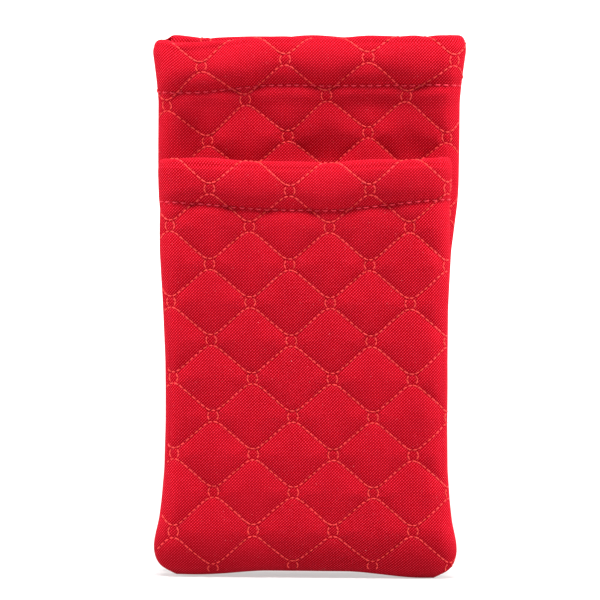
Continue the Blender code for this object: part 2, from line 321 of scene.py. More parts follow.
# ---- relief ----
def lattice_shift(pouch, wall, u, v):
    """How far the lattice has moved sideways and downwards at a place on the cloth."""
    key = (pouch["name"], wall)
    reach, start, end = QUILT_LEAN.get(key, (0.0, 0.0, 1.0))
    sideways = reach * smoothstep((v - start) / (end - start))
    down = QUILT_SAG.get(key, 0.0) * ease(-u, 14, 30)
    if key == ("rear", "front"):
        # it rises right of the middle, and spreads out near the lip
        near_lip = ease(v, 155, 10)
        spread = 3.6 * ease(u, 2, 44)
        spread -= 1.4 * ease(-u, 10, 22)
        below = 0.65 * smoothstep((u + 16 * MM) / (20 * MM))
        sideways = sideways + (below * (1 - near_lip) + spread * near_lip) * MM
        rise = 1.8 * np.exp(-((u - 18 * MM) / (21 * MM)) ** 2) * (1 - 0.4 * near_lip)
        rise += 0.95 * near_lip * ease(-u, 14, 16)
        down = down - rise * MM
    elif key == ("front", "front"):
        # its last row is drawn towards the bottom, except at the right end
        near_bottom = 1 - ease(v, 12, 14)
        down = down + 1.6 * MM * near_bottom * (1 - ease(u, 10, 25))
    return sideways, down


def zigzag_distance(x, v, x0, v0):
    """Distance to the nearest quilting thread, and to the nearest ring's centre."""
    row = (v0 - v) / QUILT_ROW
    base = np.floor(row)
    nearest = np.full(np.shape(x), 1.0)
    ring = np.full(np.shape(x), 1.0)
    for k in (-1, 0, 1):
        upper = base + k
        shift = np.where(upper % 2 == 0, 0.0, QUILT_PITCH_X / 2)
        folded = np.abs((x - x0 - shift + QUILT_PITCH_X / 2) % QUILT_PITCH_X
                        - QUILT_PITCH_X / 2)
        crest = v0 - upper * QUILT_ROW - RING_RADIUS
        trough = v0 - (upper + 1) * QUILT_ROW + RING_RADIUS
        points = [(0.0, crest), (RING_FLAT, crest), (QUILT_PITCH_X / 2 - RING_FLAT, trough),
                  (QUILT_PITCH_X / 2, trough)]
        for (ax, av), (bx, bv) in zip(points, points[1:]):
            dx, dv = bx - ax, bv - av
            t = np.clip(((folded - ax) * dx + (v - av) * dv) / (dx * dx + dv * dv), 0, 1)
            nearest = np.minimum(nearest, np.hypot(folded - ax - t * dx, v - av - t * dv))
        centre = np.hypot(folded, v - (v0 - upper * QUILT_ROW))
        ring = np.minimum(ring, centre)
    return nearest, ring


def relief(pouch, wall, x, v):
    """Height of the fabric over its plain surface, in metres."""
    key = (pouch["name"], wall)
    x0, v0 = QUILT_ORIGINS[key]
    coarse, middle, fine = NOISES[key]
    u = cloth_u(pouch, x, v)
    sideways, down = lattice_shift(pouch, wall, u, v)
    thread, ring = zigzag_distance(u - sideways, v + down, x0, v0)
    ring_edge = np.abs(ring - RING_RADIUS)
    nearest = np.minimum(thread, ring_edge)
    swell = np.clip(nearest / (7.4 * MM), 0, 1)
    puff = QUILT_PUFF * np.sin(swell * math.pi / 2) ** 0.8
    puff *= 1 + 0.22 * coarse(x / (19 * MM) + 1, v / (19 * MM) + 5)
    puff *= 1 - 0.55 * smoothstep((v - hem_v(pouch)) / (8 * MM))
    inside_ring = smoothstep((RING_RADIUS - ring) / (0.8 * MM))
    puff = np.where(ring < RING_RADIUS, 0.18 * MM * inside_ring, puff)
    groove = -0.16 * MM * hump(nearest, 0.45)
    pucker = 0.10 * MM * fine(x / (2.3 * MM), v / (3.1 * MM)) * np.exp(-nearest / (2.4 * MM))
    waves = 0.45 * MM * coarse(x / (31 * MM) + 11, v / (37 * MM) + 2)
    waves += 0.16 * MM * middle(x / (8.5 * MM) + 3, v / (9.5 * MM))
    height = puff + groove + pucker + waves
    height += hem_relief(pouch, wall, x, v)
    height += hollows(pouch, wall, x, v)
    if wall != MOVING_WALL[pouch["name"]]:
        # the pouches' neighbouring walls press each other flat up to the front pouch's lip
        free = smoothstep((v - FLAT_START - PRESSED_TO) / (9 * MM))
        free = free if pouch["name"] == "rear" else 0.0
        height = height * (0.25 + 0.75 * free) - 0.3 * MM * (1 - free)
    return height


# How far each casing swells out
CASING_BULGE = {
    ("front", "front"): 1.9 * MM, ("front", "back"): 1.4 * MM,
    ("rear", "front"): 2.4 * MM, ("rear", "back"): 1.5 * MM,
}
# Level of the casing's stitch line in the middle, and how it changes to the left and right
HEM_LEVELS = {
    ("front", "front"): (0.9 * MM, -1.9 * MM, -2.8 * MM),
    ("front", "back"): (0.0, 0.8 * MM, -0.6 * MM),
    ("rear", "front"): (0.9 * MM, 1.8 * MM, -0.2 * MM),
    ("rear", "back"): (0.4 * MM, -1.2 * MM, 0.9 * MM),
}


def hem_wander(pouch, wall, x):
    """How far below its mean place the casing's stitch line runs at x."""
    outwards = ease(np.abs(x), 6, 42)
    middle, left, right = HEM_LEVELS[(pouch["name"], wall)]
    return middle + np.where(x < 0, left, right) * outwards


def hem_relief(pouch, wall, x, v):
    """The casing's bulge and the furrow of its stitch line, on the outside and inside."""
    outside = path_lengths(pouch)[1]
    down = hem_v(pouch) - hem_wander(pouch, wall, x) - v
    casing = np.clip(-down / CASING_HEIGHT, 0, 1)
    bulge = CASING_BULGE[(pouch["name"], wall)] * np.sin(casing ** 1.1 * math.pi) ** 0.8
    bulge *= 1 - 0.45 * ease(np.abs(x), 33, 11)
    furrow = -1.1 * MM * hump(down, 1.9)
    furrow += -0.15 * MM * hump(down, 0.55)
    tuck = 0.12 * MM * np.sin(x / HEM_PITCH * 2 * math.pi) * hump(down, 1.6)
    return np.where(v < outside, bulge + furrow + tuck, 0.3 * bulge)


# How much further in the tall wall lies between the short pouch's lip and its own casing,
# and the hollows in it as (x, height, half width, half height, depth), in millimetres
RECESS = 1.4 * MM
HOLLOWS = {
    ("rear", "front"): [(-39.0, 139.5, 5.5, 7.0, 3.0), (3.5, 137.0, 9.5, 7.5, 2.1),
                        (33.5, 138.0, 8.5, 7.5, 2.2), (21.0, 152.0, 9.0, 4.5, 1.0)],
}


def hollows(pouch, wall, x, v):
    """How far the cloth sinks in at a place, as a negative height."""
    total = np.zeros(np.shape(x))
    level = v - FLAT_START
    if (pouch["name"], wall) == ("rear", "front"):
        above = ease(level, 126, 9)
        below = 1 - ease(level, 151, 7)
        total -= RECESS * above * below
    for cx, cz, wide, high, depth in HOLLOWS.get((pouch["name"], wall), []):
        far = ((x - cx * MM) / (wide * MM)) ** 2 + ((level - cz * MM) / (high * MM)) ** 2
        total -= depth * MM * np.exp(-far)
    return total


def plain_point(pouch, wall, x, v):
    """The wall's surface without its relief, and how much relief applies there.

    Returns x, the offset from the seam plane, the height, the relief's direction as its
    y and z parts, and the share of the relief that applies.
    """
    _, outside, lip = path_lengths(pouch)
    side = np.sign(x) + (x == 0)
    wide = np.abs(x)
    height = row_height(pouch, v)
    bottom_part = np.sin(np.interp(v, BOTTOM_LENGTHS, BOTTOM_ANGLES))
    edge = half_width(pouch, height)
    inwards = np.clip((edge - wide) / SIDE_RADIUS, 0, 1)
    side_part = np.sqrt(np.clip(1 - (1 - inwards) ** 2, 0, 1))
    edge_half = EDGE_HALF * np.clip(v / EDGE_HALF, 0, 1)
    offset = edge_half + (pouch["depth"] - EDGE_HALF) * side_part * bottom_part
    fade = side_part ** 0.7 * bottom_part
    # over the lip and down inside
    turn = np.clip((v - outside) / lip_radius(pouch), 0, math.pi)
    inside = (1 - np.cos(turn)) / 2
    split = split_x(pouch, height)
    inner_end = pouch["pin_x"] - INNER_FOLD_END
    bend = 0.62 * split
    narrowed = np.where(wide > bend, bend + (wide - bend) * (inner_end - bend) / (split - bend),
                        wide)
    closing = smoothstep((wide - (split - 5 * MM)) / (5 * MM))
    inner_offset = CASING_INNER * (1 - closing) + 0.3 * MM * closing
    beyond = wide > split
    narrowing = smoothstep((v - lip) / (2.5 * MM))
    new_wide = np.where(beyond, wide, wide + (narrowed - wide) * narrowing)
    offset = offset + (np.where(beyond, EDGE_HALF, inner_offset) - offset) * inside
    z = height + lip_radius(pouch) * np.sin(turn)
    z = z - np.clip(v - lip, 0, None)
    z = z + bottom_lift(x) * (1 - ease(height, 0, 30))
    reach = smoothstep((height - (pouch["lip"] - 30 * MM)) / (28 * MM))
    z = z + lip_shift(pouch, wall, x) * reach
    normal_y = np.cos(turn)
    normal_z = np.sin(turn)
    return side * new_wide + lean(pouch, height), offset, z, normal_y, normal_z, fade


def wall_point(pouch, wall, x, v, sink=0.0, smooth=1.0):
    """Points on the cloth, as an array with x, y and z last."""
    x, v = np.broadcast_arrays(np.asarray(x, float), np.asarray(v, float))
    new_x, offset, z, normal_y, normal_z, fade = plain_point(pouch, wall, x, v)
    rise = smooth * relief(pouch, wall, x, v) * fade - sink
    side = WALLS[wall]
    y = pouch["seam_y"] + side * (offset + rise * normal_y)
    return np.stack([new_x, y, z + rise * normal_z], axis=-1)


def wall_normal(pouch, wall, x, v):
    """Outward normals of the cloth."""
    step = 0.25 * MM
    along_x = wall_point(pouch, wall, x + step, v) - wall_point(pouch, wall, x - step, v)
    along_v = wall_point(pouch, wall, x, v + step) - wall_point(pouch, wall, x, v - step)
    normal = np.cross(along_x, along_v) * -WALLS[wall]
    return normal / np.maximum(np.linalg.norm(normal, axis=-1, keepdims=True), 1e-12)


# ---- meshes ----
def grid_faces(rows, columns, flip=False):
    index = np.arange(rows * columns).reshape(rows, columns)
    a, b = index[:-1, :-1], index[:-1, 1:]
    c, d = index[1:, 1:], index[1:, :-1]
    quads = np.stack([a, b, c, d], axis=-1).reshape(-1, 4)
    return quads[:, ::-1] if flip else quads


def rim_loop(rows, columns):
    """Indices round the border of a grid, in order."""
    index = np.arange(rows * columns).reshape(rows, columns)
    return np.concatenate([index[0, :-1], index[:-1, -1], index[-1, :0:-1], index[:0:-1, 0]])


def new_mesh(name, material, points, quads, uv=None, sharp=None):
    mesh = bpy.data.meshes.new(name)
    mesh.vertices.add(len(points))
    mesh.vertices.foreach_set("co", points.astype(np.float32).ravel())
    mesh.loops.add(quads.size)
    mesh.loops.foreach_set("vertex_index", quads.astype(np.int32).ravel())
    mesh.polygons.add(len(quads))
    mesh.polygons.foreach_set("loop_start", np.arange(0, quads.size, quads.shape[1],
                                                      dtype=np.int32))
    mesh.polygons.foreach_set("use_smooth", np.ones(len(quads), bool))
    if uv is not None:
        layer = mesh.uv_layers.new(name="cloth")
        layer.data.foreach_set("uv", uv[quads.ravel()].astype(np.float32).ravel())
    mesh.update(calc_edges=True)
    if sharp is not None:
        edges = np.zeros(len(mesh.edges) * 2, np.int64)
        mesh.edges.foreach_get("vertices", edges)
        edges = np.sort(edges.reshape(-1, 2), axis=1)
        wanted = np.sort(sharp, axis=1)
        marks = np.isin(edges @ [1, len(points)], wanted @ [1, len(points)])
        layer = mesh.attributes.new("sharp_edge", "BOOLEAN", "EDGE")
        layer.data.foreach_set("value", marks)
    mesh.materials.append(material)
    obj = bpy.data.objects.new(name, mesh)
    bpy.context.scene.collection.objects.link(obj)
    return obj


def shell(name, material, outer, inner, uv, flip):
    """A closed thin body between two grids of points."""
    rows, columns = outer.shape[:2]
    count = rows * columns
    points = np.concatenate([outer.reshape(-1, 3), inner.reshape(-1, 3)])
    front = grid_faces(rows, columns, flip)
    back = grid_faces(rows, columns, not flip) + count
    loop = rim_loop(rows, columns)
    following = np.roll(loop, -1)
    rim = np.stack([loop, loop + count, following + count, following], axis=-1)
    if flip:
        rim = rim[:, ::-1]
    quads = np.concatenate([front, back, rim])
    flat_uv = uv.reshape(-1, 2)
    border = np.stack([loop, following], axis=-1)
    return new_mesh(name, material, points, quads, np.concatenate([flat_uv, flat_uv]),
                    np.concatenate([border, border + count]))


def cloth_rows(pouch, pitch, stop):
    """Cloth distances of a grid's rows, closer together round the bottom and the lip."""
    arc, outside, lip = path_lengths(pouch)
    bottom = np.linspace(0, arc, int(arc / pitch))
    body = np.linspace(arc, outside, int((outside - arc) / pitch))
    over = np.linspace(outside, lip, 16)
    inner = np.linspace(lip, lip + CASING_HEIGHT - lip_radius(pouch), 16)
    rows = np.concatenate([bottom, body[1:], over[1:], inner[1:]])
    return rows[rows <= stop + 1e-9]


def row_height(pouch, v):
    """Height of a row of cloth above the bottom, before the lip turns over."""
    arc, outside, _ = path_lengths(pouch)
    turn = np.interp(v, BOTTOM_LENGTHS, BOTTOM_ANGLES)
    return BOTTOM_RISE * (1 - np.cos(turn)) + np.clip(v - arc, 0, outside - arc)


def make_skin(pouch, wall, end_name, material):
    """One half of a wall's quilted cloth, from the middle to the side seam."""
    end = ENDS[end_name]
    lip = path_lengths(pouch)[2]
    pitch = SKIN_PITCH
    v = cloth_rows(pouch, pitch, lip + CASING_HEIGHT)
    moving = MOVING_WALL[pouch["name"]] == wall
    if moving:
        v = np.concatenate([-np.linspace(FOLD_FLAP, 0, 6)[:-1], v])
    split = split_x(pouch, row_height(pouch, v))
    columns = int(46 * MM / pitch)
    across = np.linspace(0, 1, columns)
    x = end * across[None, :] * split[:, None]
    tuck = end * (split[:, None] + SPLIT_OVERLAP * np.array([[0.5, 1.0]]))
    x = np.concatenate([x, tuck], axis=1)
    rows = np.repeat(v[:, None], x.shape[1], axis=1)
    held = np.clip(x, -split[:, None], split[:, None])
    outer = wall_point(pouch, wall, held, rows)
    normal = wall_normal(pouch, wall, held, rows)
    if not moving:
        tucked = 1 - smoothstep((v - FOLD_TUCK) / (3.5 * MM))
        outer -= normal * (tucked * (SKIN_THICKNESS + 0.15 * MM))[:, None, None]
    else:
        under = np.broadcast_to((v < 0)[:, None, None], outer.shape)
        other = "front" if wall == "back" else "back"
        outer = np.where(under, wall_point(pouch, other, held, np.abs(rows)), outer)
        normal = np.where(under, wall_normal(pouch, other, held, np.abs(rows)), normal)
    outer[..., 0] += (x - held)
    outer[:, -2:] -= normal[:, -2:] * np.array([0.12, 0.3])[None, :, None] * MM
    inner = outer - normal * SKIN_THICKNESS
    uv = np.stack([cloth_u(pouch, x, rows), rows], axis=-1) / MM
    flip = (end * WALLS[wall]) > 0
    name = f"{pouch['name']}_{wall}_quilted_{end_name}"
    return shell(name, material, outer, inner, uv, flip)


def make_lining(pouch, wall, end_name, material):
    end = ENDS[end_name]
    hem = hem_v(pouch)
    v = np.linspace(LINING_START, hem - LINING_TOP_GAP, 60)
    split = split_x(pouch, row_height(pouch, v)) - LINING_SIDE_GAP
    across = np.linspace(0, 1, 26)
    x = end * across[None, :] * split[:, None]
    rows = np.repeat(v[:, None], x.shape[1], axis=1)
    outer = wall_point(pouch, wall, x, rows, smooth=0.9)
    normal = wall_normal(pouch, wall, x, rows)
    outer = outer - normal * LINING_DEPTH
    seam = pouch["seam_y"] + WALLS[wall] * 0.4 * MM
    if WALLS[wall] > 0:
        outer[..., 1] = np.maximum(outer[..., 1], seam)
    else:
        outer[..., 1] = np.minimum(outer[..., 1], seam)
    inner = outer - normal * LINING_THICKNESS
    uv = np.stack([x, rows], axis=-1) / MM
    flip = (end * WALLS[wall]) > 0
    name = f"{pouch['name']}_{wall}_lining_cloth_{end_name}"
    flat = (float(split.mean()), float(v[-1] - v[0]))
    return shell(name, material, outer, inner, uv, flip), flat


def make_side_seam(pouch, end_name, material):
    """Both walls' cloth beyond the pin line, meeting at the outline."""
    end = ENDS[end_name]
    outside = path_lengths(pouch)[1]
    pitch = SEAM_PITCH
    v = cloth_rows(pouch, pitch, outside)
    height = row_height(pouch, v)
    split, edge = split_x(pouch, height), half_width(pouch, height)
    reach = np.arccos(np.clip(1 - (edge - split) / SIDE_RADIUS, -1, 1))
    count = 12
    part = np.linspace(0, 1, count)
    angle = reach[:, None] * (1 - part[None, :])
    x = edge[:, None] - SIDE_RADIUS * (1 - np.cos(angle))
    x[:, 0] = split + 1e-6
    rows = np.repeat(v[:, None], count, axis=1)
    fronts = wall_point(pouch, "front", end * x, rows)
    backs = wall_point(pouch, "back", end * x, rows)
    middle = pouch["seam_y"]
    # over the top the two walls round off towards each other and close
    turn = np.linspace(0, math.pi / 2, 9)[1:]
    rise = (TOP_RISE[end_name] * lip_radius(pouch) * np.sin(turn))[:, None]
    close = (np.cos(turn) ** 0.8)[:, None]
    caps = []
    for side in (fronts, backs):
        cap = np.repeat(side[-1:], len(turn), axis=0)
        cap[..., 1] = middle + (cap[..., 1] - middle) * close
        cap[..., 2] += rise
        pulled = x[-1] - split[-1]
        cap[..., 0] -= end * pulled * TOP_CORNER * (1 - np.cos(turn))[:, None]
        caps.append(np.concatenate([side, cap]))
    outer = np.concatenate([caps[0], caps[1][:, ::-1]], axis=1)
    rows = np.concatenate([rows, rows[-1:] + turn[:, None] * lip_radius(pouch)])
    x = np.concatenate([x, np.repeat(x[-1:], len(turn), axis=0)])
    uv_front = np.stack([cloth_u(pouch, end * x, rows), rows], axis=-1) / MM
    uv = np.concatenate([uv_front, uv_front[:, ::-1]], axis=1)
    along = np.gradient(outer, axis=1)
    up = np.gradient(outer, axis=0)
    normal = np.cross(along, up)
    normal /= np.maximum(np.linalg.norm(normal, axis=-1, keepdims=True), 1e-12)
    normal *= end
    inner = outer - normal * SEAM_THICKNESS
    half = outer.shape[1] // 2
    inner[:, :half, 1] = np.minimum(inner[:, :half, 1], middle - 0.03 * MM)
    inner[:, half:, 1] = np.maximum(inner[:, half:, 1], middle + 0.03 * MM)
    name = f"{pouch['name']}_{end_name}_seamed_edge"
    return shell(name, material, outer, inner, uv, end < 0)


# ---- threads ----
def tube_mesh(name, lines, normals, radius, material):
    """Short rounded threads. lines is (threads, points, 3)."""
    sides = 6
    threads, steps = lines.shape[:2]
    along = np.gradient(lines, axis=1)
    along /= np.maximum(np.linalg.norm(along, axis=-1, keepdims=True), 1e-12)
    across = np.cross(along, normals)
    across /= np.maximum(np.linalg.norm(across, axis=-1, keepdims=True), 1e-12)
    up = np.cross(across, along)
    taper = np.ones(steps)
    taper[0] = taper[-1] = 0.45
    angle = np.arange(sides) * 2 * math.pi / sides
    ring = (across[:, :, None] * np.cos(angle)[None, None, :, None]
            + up[:, :, None] * np.sin(angle)[None, None, :, None])
    points = lines[:, :, None] + ring * (radius * taper)[None, :, None, None]
    index = np.arange(threads * steps * sides).reshape(threads, steps, sides)
    following = np.roll(index, -1, axis=2)
    quads = np.stack([index[:, :-1], following[:, :-1], following[:, 1:], index[:, 1:]],
                     axis=-1).reshape(-1, 4)
    caps = []
    for ring_index, order in ((index[:, 0], (0, 5, 4, 1)), (index[:, 0], (1, 4, 3, 2)),
                              (index[:, -1], (0, 1, 4, 5)), (index[:, -1], (1, 2, 3, 4))):
        caps.append(ring_index[:, order])
    quads = np.concatenate([quads] + caps)
    return new_mesh(name, material, points.reshape(-1, 3), quads)


def zigzag_stitches(x0, v0, v_low, v_high, x_limit):
    """Ends of every quilting stitch on a wall, as (x, v) pairs."""
    starts, ends = [], []
    first = int(math.floor((v0 - v_high) / QUILT_ROW)) - 1
    last = int(math.ceil((v0 - v_low) / QUILT_ROW)) + 1
    for row in range(first, last + 1):
        shift = 0.0 if row % 2 == 0 else QUILT_PITCH_X / 2
        crest = v0 - row * QUILT_ROW - RING_RADIUS
        trough = v0 - (row + 1) * QUILT_ROW + RING_RADIUS
        points = []
        for period in range(-3, 4):
            cx = x0 + shift + period * QUILT_PITCH_X
            points += [(cx - RING_FLAT * 0.9, crest), (cx + RING_FLAT * 0.9, crest),
                       (cx + QUILT_PITCH_X / 2 - RING_FLAT * 0.9, trough),
                       (cx + QUILT_PITCH_X / 2 + RING_FLAT * 0.9, trough)]
        line = round_corners(np.array(points), 1.3 * MM)
        add_stitches(line, STITCH_PITCH, starts, ends, row)
        for period in range(-3, 4):
            cx = x0 + shift + period * QUILT_PITCH_X
            cv = v0 - row * QUILT_ROW
            for way in (-1, 1):
                turn = np.radians(np.array([-48, 0, 48]))
                arc_x = cx + way * RING_RADIUS * np.cos(turn)
                arc_v = cv + RING_RADIUS * np.sin(turn)
                starts += [(arc_x[0], arc_v[0]), (arc_x[1], arc_v[1])]
                ends += [(arc_x[1], arc_v[1]), (arc_x[2], arc_v[2])]
    starts, ends = np.array(starts), np.array(ends)
    # stitches that lean one way are drawn out, and those that lean the other way sink in
    along = ends - starts
    rising = np.sign(along[:, :1] * along[:, 1:])
    change = np.where(rising < 0, -0.085, 0.045)
    starts, ends = starts + along * change, ends - along * change
    middle = (starts + ends) / 2
    kept = ((np.abs(middle[:, 0]) < x_limit) & (middle[:, 1] > v_low)
            & (middle[:, 1] < v_high))
    return starts[kept], ends[kept]


def round_corners(line, size):
    """A polyline with each corner cut twice, so that it turns gently."""
    for _ in range(2):
        before, after = line[:-1], line[1:]
        length = np.linalg.norm(after - before, axis=1, keepdims=True)
        cut = np.minimum(size / length, 0.25)
        pair = np.stack([before + (after - before) * cut, after - (after - before) * cut], 1)
        line = pair.reshape(-1, 2)
        size /= 2
    return line


def add_stitches(line, pitch, starts, ends, seed):
    """Cuts a polyline into stitches with small gaps."""
    lengths = np.concatenate([[0], np.cumsum(np.linalg.norm(np.diff(line, axis=0), axis=1))])
    random = np.random.default_rng(FIRST_STITCH_SEED + seed)
    at = 0.3 * pitch
    while at + pitch < lengths[-1]:
        size = pitch * (0.82 + 0.05 * random.standard_normal())
        pair = [at, at + size]
        x = np.interp(pair, lengths, line[:, 0])
        v = np.interp(pair, lengths, line[:, 1])
        starts.append((x[0], v[0]))
        ends.append((x[1], v[1]))
        at += pitch * (1 + 0.04 * random.standard_normal())


def lay_threads(name, pouch, wall, starts, ends, radius, lift, material, shift):
    """Threads laid on the cloth, a little above it in the middle and sunk at their ends."""
    steps = 5
    part = np.linspace(0, 1, steps)
    u = starts[:, None, 0] + (ends - starts)[:, None, 0] * part
    v = starts[:, None, 1] + (ends - starts)[:, None, 1] * part
    sideways, down = shift(u, v)
    u, v = u + sideways, v - down
    x = cloth_x(pouch, u, v)
    normal = wall_normal(pouch, wall, x, v)
    points = wall_point(pouch, wall, x, v)
    height = lift * np.sin(part * math.pi) ** 0.6 - 0.10 * MM * (1 - np.sin(part * math.pi))
    points = points + normal * height[None, :, None]
    return tube_mesh(name, points, normal, radius, material)


def split_region(pouch, middle):
    """'left', 'right', 'edge_left' or 'edge_right' for each place on the cloth.

    A stitch just beyond a wall's edge stays with the wall, as it would catch on it otherwise.
    """
    split = split_x(pouch, row_height(pouch, middle[:, 1]))
    side = np.where(middle[:, 0] < 0, "left", "right")
    x = np.abs(cloth_x(pouch, middle[:, 0], middle[:, 1]))
    return np.where(x > split + STITCH_CLEAR, np.char.add("edge_", side), side)


def within_outline(pouch, middle, margin):
    """Whether each place on the cloth keeps a margin from the outline."""
    limit = half_width(pouch, row_height(pouch, middle[:, 1])) - margin
    return np.abs(cloth_x(pouch, middle[:, 0], middle[:, 1])) < limit


def blend_across_crease(obj):
    """Bakes the piece's transform into its mesh."""
    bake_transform(obj)


# ---- materials ----
def node_tree(name):
    material = bpy.data.materials.new(name)
    material.use_nodes = True
    tree = material.node_tree
    shader = tree.nodes["Principled BSDF"]
    return material, tree, shader


def set_inputs(node, values):
    for name, value in values.items():
        node.inputs[name].default_value = value


def math_node(tree, operation, a, b=None, clamp=False):
    node = tree.nodes.new("ShaderNodeMath")
    node.operation = operation
    node.use_clamp = clamp
    for socket, value in zip(node.inputs, (a, b)):
        if value is None:
            continue
        if isinstance(value, (int, float)):
            socket.default_value = value
        else:
            tree.links.new(value, socket)
    return node.outputs[0]


def mix_colour(tree, factor, a, b, mode="MIX"):
    node = tree.nodes.new("ShaderNodeMix")
    node.data_type = "RGBA"
    node.blend_type = mode
    for socket, value in ((node.inputs[0], factor), (node.inputs[6], a), (node.inputs[7], b)):
        if isinstance(value, (tuple, float, int)):
            socket.default_value = value
        else:
            tree.links.new(value, socket)
    return node.outputs[2]


def noise_node(tree, vector, scale, detail=2.0):
    node = tree.nodes.new("ShaderNodeTexNoise")
    node.inputs["Scale"].default_value = scale
    node.inputs["Detail"].default_value = detail
    tree.links.new(vector, node.inputs["Vector"])
    return node.outputs["Fac"]


def add_bump(tree, shader, height, distance, strength=1.0):
    bump = tree.nodes.new("ShaderNodeBump")
    bump.inputs["Strength"].default_value = strength
    bump.inputs["Distance"].default_value = distance
    tree.links.new(height, bump.inputs["Height"])
    tree.links.new(bump.outputs[0], shader.inputs["Normal"])


def woven_material(name, dark, base, light, yarn, relief_height, roughness, sheen):
    """Plain weave: warp and weft show in turn, as a chequer of small domes."""
    material, tree, shader = node_tree(name)
    times = functools.partial(math_node, tree, "MULTIPLY")
    plus = functools.partial(math_node, tree, "ADD")
    minus = functools.partial(math_node, tree, "SUBTRACT")
    uv = tree.nodes.new("ShaderNodeUVMap")
    uv.uv_map = "cloth"
    split = tree.nodes.new("ShaderNodeSeparateXYZ")
    tree.links.new(uv.outputs["UV"], split.inputs[0])
    wobble = noise_node(tree, uv.outputs["UV"], 0.35, 2.0)
    wobble = times(minus(wobble, 0.5), 0.5)
    frequency = math.pi / yarn
    u = plus(split.outputs[0], wobble)
    v = plus(split.outputs[1], wobble)
    wave_u = math_node(tree, "SINE", times(u, frequency))
    wave_v = math_node(tree, "SINE", times(v, frequency))
    product = times(wave_u, wave_v)
    # the yarns' slant joins the domes into ribs that rise to the right
    slant = times(minus(u, v), frequency)
    ribs = math_node(tree, "COSINE", slant)
    pattern = plus(times(product, 0.55), times(ribs, 0.40))
    chequer = plus(times(pattern, 0.5), 0.5)
    dome = math_node(tree, "ABSOLUTE", product)
    gap = math_node(tree, "POWER", dome, 0.35)
    streak = noise_node(tree, uv.outputs["UV"], 1.7, 4.0)
    cloud = noise_node(tree, uv.outputs["UV"], 0.06, 3.0)
    tone = plus(times(chequer, 0.85), times(streak, 0.30))
    tone = minus(tone, 0.075, clamp=True)
    ramp = tree.nodes.new("ShaderNodeValToRGB")
    ramp.color_ramp.elements[0].position = 0.22
    ramp.color_ramp.elements[0].color = dark
    ramp.color_ramp.elements[1].position = 0.97
    ramp.color_ramp.elements[1].color = light
    middle = ramp.color_ramp.elements.new(0.62)
    middle.color = base
    tree.links.new(tone, ramp.inputs[0])
    # painted shade: the cloth's colour darkens towards its bottom edge, to 0.70 at the edge and
    # back to full 20 mm up, standing in for the shade where the wall curves under
    painted_bottom_shade = tree.nodes.new("ShaderNodeMapRange")
    tree.links.new(split.outputs[1], painted_bottom_shade.inputs["Value"])
    painted_bottom_shade.inputs["From Max"].default_value = 20.0
    painted_bottom_shade.inputs["To Min"].default_value = 0.70
    shade = plus(times(cloud, 0.30), 0.85)
    shade = times(shade, painted_bottom_shade.outputs[0])
    shade = times(shade, plus(times(gap, 0.35), 0.70))
    grey = tree.nodes.new("ShaderNodeCombineColor")
    for socket in grey.inputs[:3]:
        tree.links.new(shade, socket)
    colour = mix_colour(tree, 1.0, ramp.outputs[0], grey.outputs[0], "MULTIPLY")
    lint = noise_node(tree, uv.outputs["UV"], 2.6, 1.0)
    lint = times(minus(lint, 0.77), 14.0, clamp=True)
    colour = mix_colour(tree, lint, colour, (0.95, 0.45, 0.45, 1))
    tree.links.new(colour, shader.inputs["Base Color"])
    rough = plus(times(streak, 0.12), roughness - 0.06)
    tree.links.new(rough, shader.inputs["Roughness"])
    set_inputs(shader, {"Specular IOR Level": 0.015, "Sheen Weight": sheen,
                        "Sheen Roughness": 0.45, "Sheen Tint": (1.0, 0.06, 0.12, 1)})
    height = plus(times(gap, 0.8), times(streak, 0.25))
    add_bump(tree, shader, height, relief_height, 0.6)
    return material


def thread_material(name, colour, roughness):
    material, tree, shader = node_tree(name)
    place = tree.nodes.new("ShaderNodeTexCoord")
    twist = tree.nodes.new("ShaderNodeTexWave")
    twist.inputs["Scale"].default_value = 900.0
    twist.inputs["Distortion"].default_value = 1.5
    tree.links.new(place.outputs["Object"], twist.inputs["Vector"])
    darker = tuple(0.72 * c for c in colour[:3]) + (1,)
    tone = mix_colour(tree, twist.outputs["Fac"], darker, colour)
    tree.links.new(tone, shader.inputs["Base Color"])
    shader.inputs["Roughness"].default_value = roughness
    shader.inputs["Specular IOR Level"].default_value = 0.20
    add_bump(tree, shader, twist.outputs["Fac"], 0.00004)
    return material


def steel_material():
    material, tree, shader = node_tree("spring_steel_look")
    place = tree.nodes.new("ShaderNodeTexCoord")
    stretch = tree.nodes.new("ShaderNodeMapping")
    stretch.inputs["Scale"].default_value = (40.0, 900.0, 900.0)
    tree.links.new(place.outputs["Object"], stretch.inputs["Vector"])
    grain = noise_node(tree, stretch.outputs[0], 3.0, 4.0)
    colour = mix_colour(tree, grain, (0.42, 0.43, 0.46, 1), (0.62, 0.63, 0.66, 1))
    tree.links.new(colour, shader.inputs["Base Color"])
    rough = math_node(tree, "ADD", math_node(tree, "MULTIPLY", grain, 0.22), 0.20)
    tree.links.new(rough, shader.inputs["Roughness"])
    shader.inputs["Metallic"].default_value = 1.0
    add_bump(tree, shader, grain, 0.00002)
    return material


def make_materials():
    return {
        "quilted": woven_material(
            "quilted_cloth", dark=(0.26, 0.0, 0.001, 1), base=(0.47, 0.0, 0.007, 1),
            light=(0.88, 0.052, 0.105, 1), yarn=0.485, relief_height=0.00012,
            roughness=0.85, sheen=0.05),
        "lining": woven_material(
            "lining_cloth", dark=(0.16, 0.002, 0.006, 1), base=(0.33, 0.006, 0.014, 1),
            light=(0.48, 0.015, 0.028, 1), yarn=0.25, relief_height=0.00004,
            roughness=0.60, sheen=0.05),
        "quilt_thread": thread_material("quilting_thread", (0.90, 0.060, 0.055, 1), 0.50),
        "hem_thread": thread_material("hem_thread", (0.88, 0.040, 0.075, 1), 0.55),
        "steel": steel_material(),
    }


